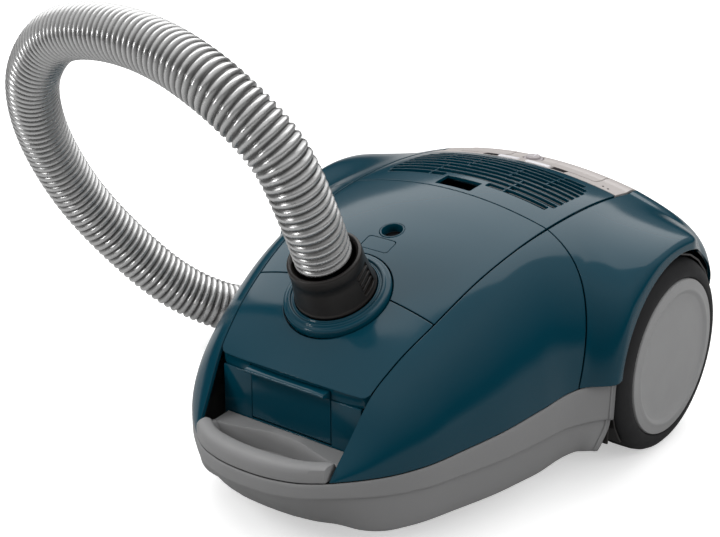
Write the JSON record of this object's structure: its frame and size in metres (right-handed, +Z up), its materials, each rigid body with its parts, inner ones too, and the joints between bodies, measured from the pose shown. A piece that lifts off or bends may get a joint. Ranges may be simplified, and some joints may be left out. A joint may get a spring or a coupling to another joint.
{
  "type": "cylinder vacuum cleaner",
  "caption": "Cylinder vacuum cleaner on two large wheels and a front caster, with opening lids, a bowed carry handle and a long ribbed hose.",
  "frame": {"origin": "on the floor under the middle of the body (the hose not counted)", "axes": "+Z up, -Y towards the front (carry handle and hose inlet), +X towards the machine's left side"},
  "size_m": [0.4616, 0.5984, 0.3199],
  "materials": {
    "teal_plastic": "glossy petrol teal moulding",
    "grey_plastic": "fine-textured mid grey moulding",
    "hub_grey": "satin grey moulding",
    "light_plastic": "satin warm light grey moulding",
    "black_plastic": "satin black moulding",
    "rubber": "matt dark rubber",
    "hose_silver": "silver-grey ribbed plastic",
    "steel": "plain steel",
    "motor_core": "copper windings on an iron core",
    "bag_fabric": "non-woven bag cloth",
    "filter_foam": "open-cell foam",
    "bag_card": "pressed card",
    "circuit_board": "solder-masked board"
  },
  "bodies": {
    "chassis": {"base_tub": "grey_plastic", "carry_handle": "grey_plastic", "recess_wall": "teal_plastic", "latch_pin": "steel", "side_panel_left": "teal_plastic", "side_panel_right": "teal_plastic", "wheel_arch_left": "teal_plastic", "wheel_arch_right": "teal_plastic", "wheel_axle_left": "steel", "wheel_axle_right": "steel", "wheel_liner_left": "black_plastic", "wheel_liner_right": "black_plastic", "exhaust_grille": "teal_plastic", "rear_cover": "light_plastic", "rewind_spring": "steel", "switch_spring": "steel", "cord_outlet": "black_plastic", "bag_chamber_wall": "black_plastic", "motor_filter": "filter_foam", "motor_housing": "steel", "motor_mount_front": "rubber", "motor_mount_rear": "rubber", "reel_axle": "steel", "control_board": "circuit_board", "exhaust_filter": "filter_foam", "pedal_shelf": "black_plastic", "dust_bag": "bag_fabric", "bag_card": "bag_card", "bag_holder": "grey_plastic", "hose": "hose_silver", "hose_cuff": "black_plastic", "hand_grip": "black_plastic"},
    "bag_lid": {"front_lid": "teal_plastic", "inlet_ring": "teal_plastic", "inlet_seal": "rubber", "accessory_tray": "black_plastic"},
    "accessory_lid": {"accessory_lid": "teal_plastic", "bag_indicator": "black_plastic"},
    "push_button": {"push_button": "teal_plastic"},
    "hose_collar": {"hose_collar": "black_plastic"},
    "latch": {"latch_lever": "teal_plastic"},
    "wheel_left": {"wheel_hub_left": "hub_grey", "tyre_left": "rubber"},
    "wheel_right": {"wheel_hub_right": "hub_grey", "tyre_right": "rubber"},
    "caster": {"caster_fork": "black_plastic", "caster_pin": "steel"},
    "roller": {"caster_roller": "grey_plastic"},
    "rotor": {"motor_rotor": "motor_core", "fan_impeller": "steel"},
    "reel": {"cord_reel": "grey_plastic"},
    "power_knob": {"power_knob": "grey_plastic"},
    "rewind_pedal": {"rewind_pedal": "light_plastic"},
    "switch_pedal": {"switch_pedal": "light_plastic"}
  },
  "joints": [
    {"name": "bag_lid_hinge", "type": "hinge", "parent": "chassis", "child": "bag_lid", "pos_m": [0, 0.038, 0.181], "axis": [-1, 0, 0], "range_deg": [0, 65], "deforming": ["hose"]},
    {"name": "accessory_lid_hinge", "type": "hinge", "parent": "bag_lid", "child": "accessory_lid", "pos_m": [0, 0.038, 0.181], "axis": [-1, 0, 0], "range_deg": [0, 60]},
    {"name": "push_button_slide", "type": "slide", "parent": "accessory_lid", "child": "push_button", "axis": [0, 0.342, -0.9397], "range_m": [0, 0.002], "stiffness_N_per_m": 500},
    {"name": "latch_hinge", "type": "hinge", "parent": "chassis", "child": "latch", "pos_m": [0, -0.1328, 0.069], "axis": [1, 0, 0], "range_deg": [0, 12], "stiffness_Nm_per_rad": 0.4},
    {"name": "collar_swivel", "type": "hinge", "parent": "bag_lid", "child": "hose_collar", "pos_m": [0, -0.0881, 0.1461], "axis": [0, -0.4226, 0.9063], "continuous": true},
    {"name": "wheel_left_spin", "type": "hinge", "parent": "chassis", "child": "wheel_left", "pos_m": [0.13, 0.1023, 0.06975], "axis": [1, 0, 0], "continuous": true},
    {"name": "wheel_right_spin", "type": "hinge", "parent": "chassis", "child": "wheel_right", "pos_m": [-0.13, 0.1023, 0.06975], "axis": [1, 0, 0], "continuous": true},
    {"name": "caster_swivel", "type": "hinge", "parent": "chassis", "child": "caster", "pos_m": [0, -0.112, 0.018], "axis": [0, 0, 1], "continuous": true},
    {"name": "caster_roll", "type": "hinge", "parent": "caster", "child": "roller", "pos_m": [0, -0.107, 0.008], "axis": [1, 0, 0], "continuous": true},
    {"name": "motor_spin", "type": "hinge", "parent": "chassis", "child": "rotor", "pos_m": [0, 0.082, 0.092], "axis": [0, 1, 0], "continuous": true},
    {"name": "reel_spin", "type": "hinge", "parent": "chassis", "child": "reel", "pos_m": [0.081, 0.104, 0.088], "axis": [1, 0, 0], "continuous": true},
    {"name": "knob_turn", "type": "hinge", "parent": "chassis", "child": "power_knob", "pos_m": [0, 0.15, 0.17], "axis": [0, 0, 1], "range_deg": [-135, 135]},
    {"name": "rewind_press", "type": "slide", "parent": "chassis", "child": "rewind_pedal", "axis": [0, 0, -1], "range_m": [0, 0.003], "stiffness_N_per_m": 1500, "deforming": ["rewind_spring"]},
    {"name": "switch_press", "type": "slide", "parent": "chassis", "child": "switch_pedal", "axis": [0, 0, -1], "range_m": [0, 0.003], "stiffness_N_per_m": 1500, "deforming": ["switch_spring"]}
  ]
}
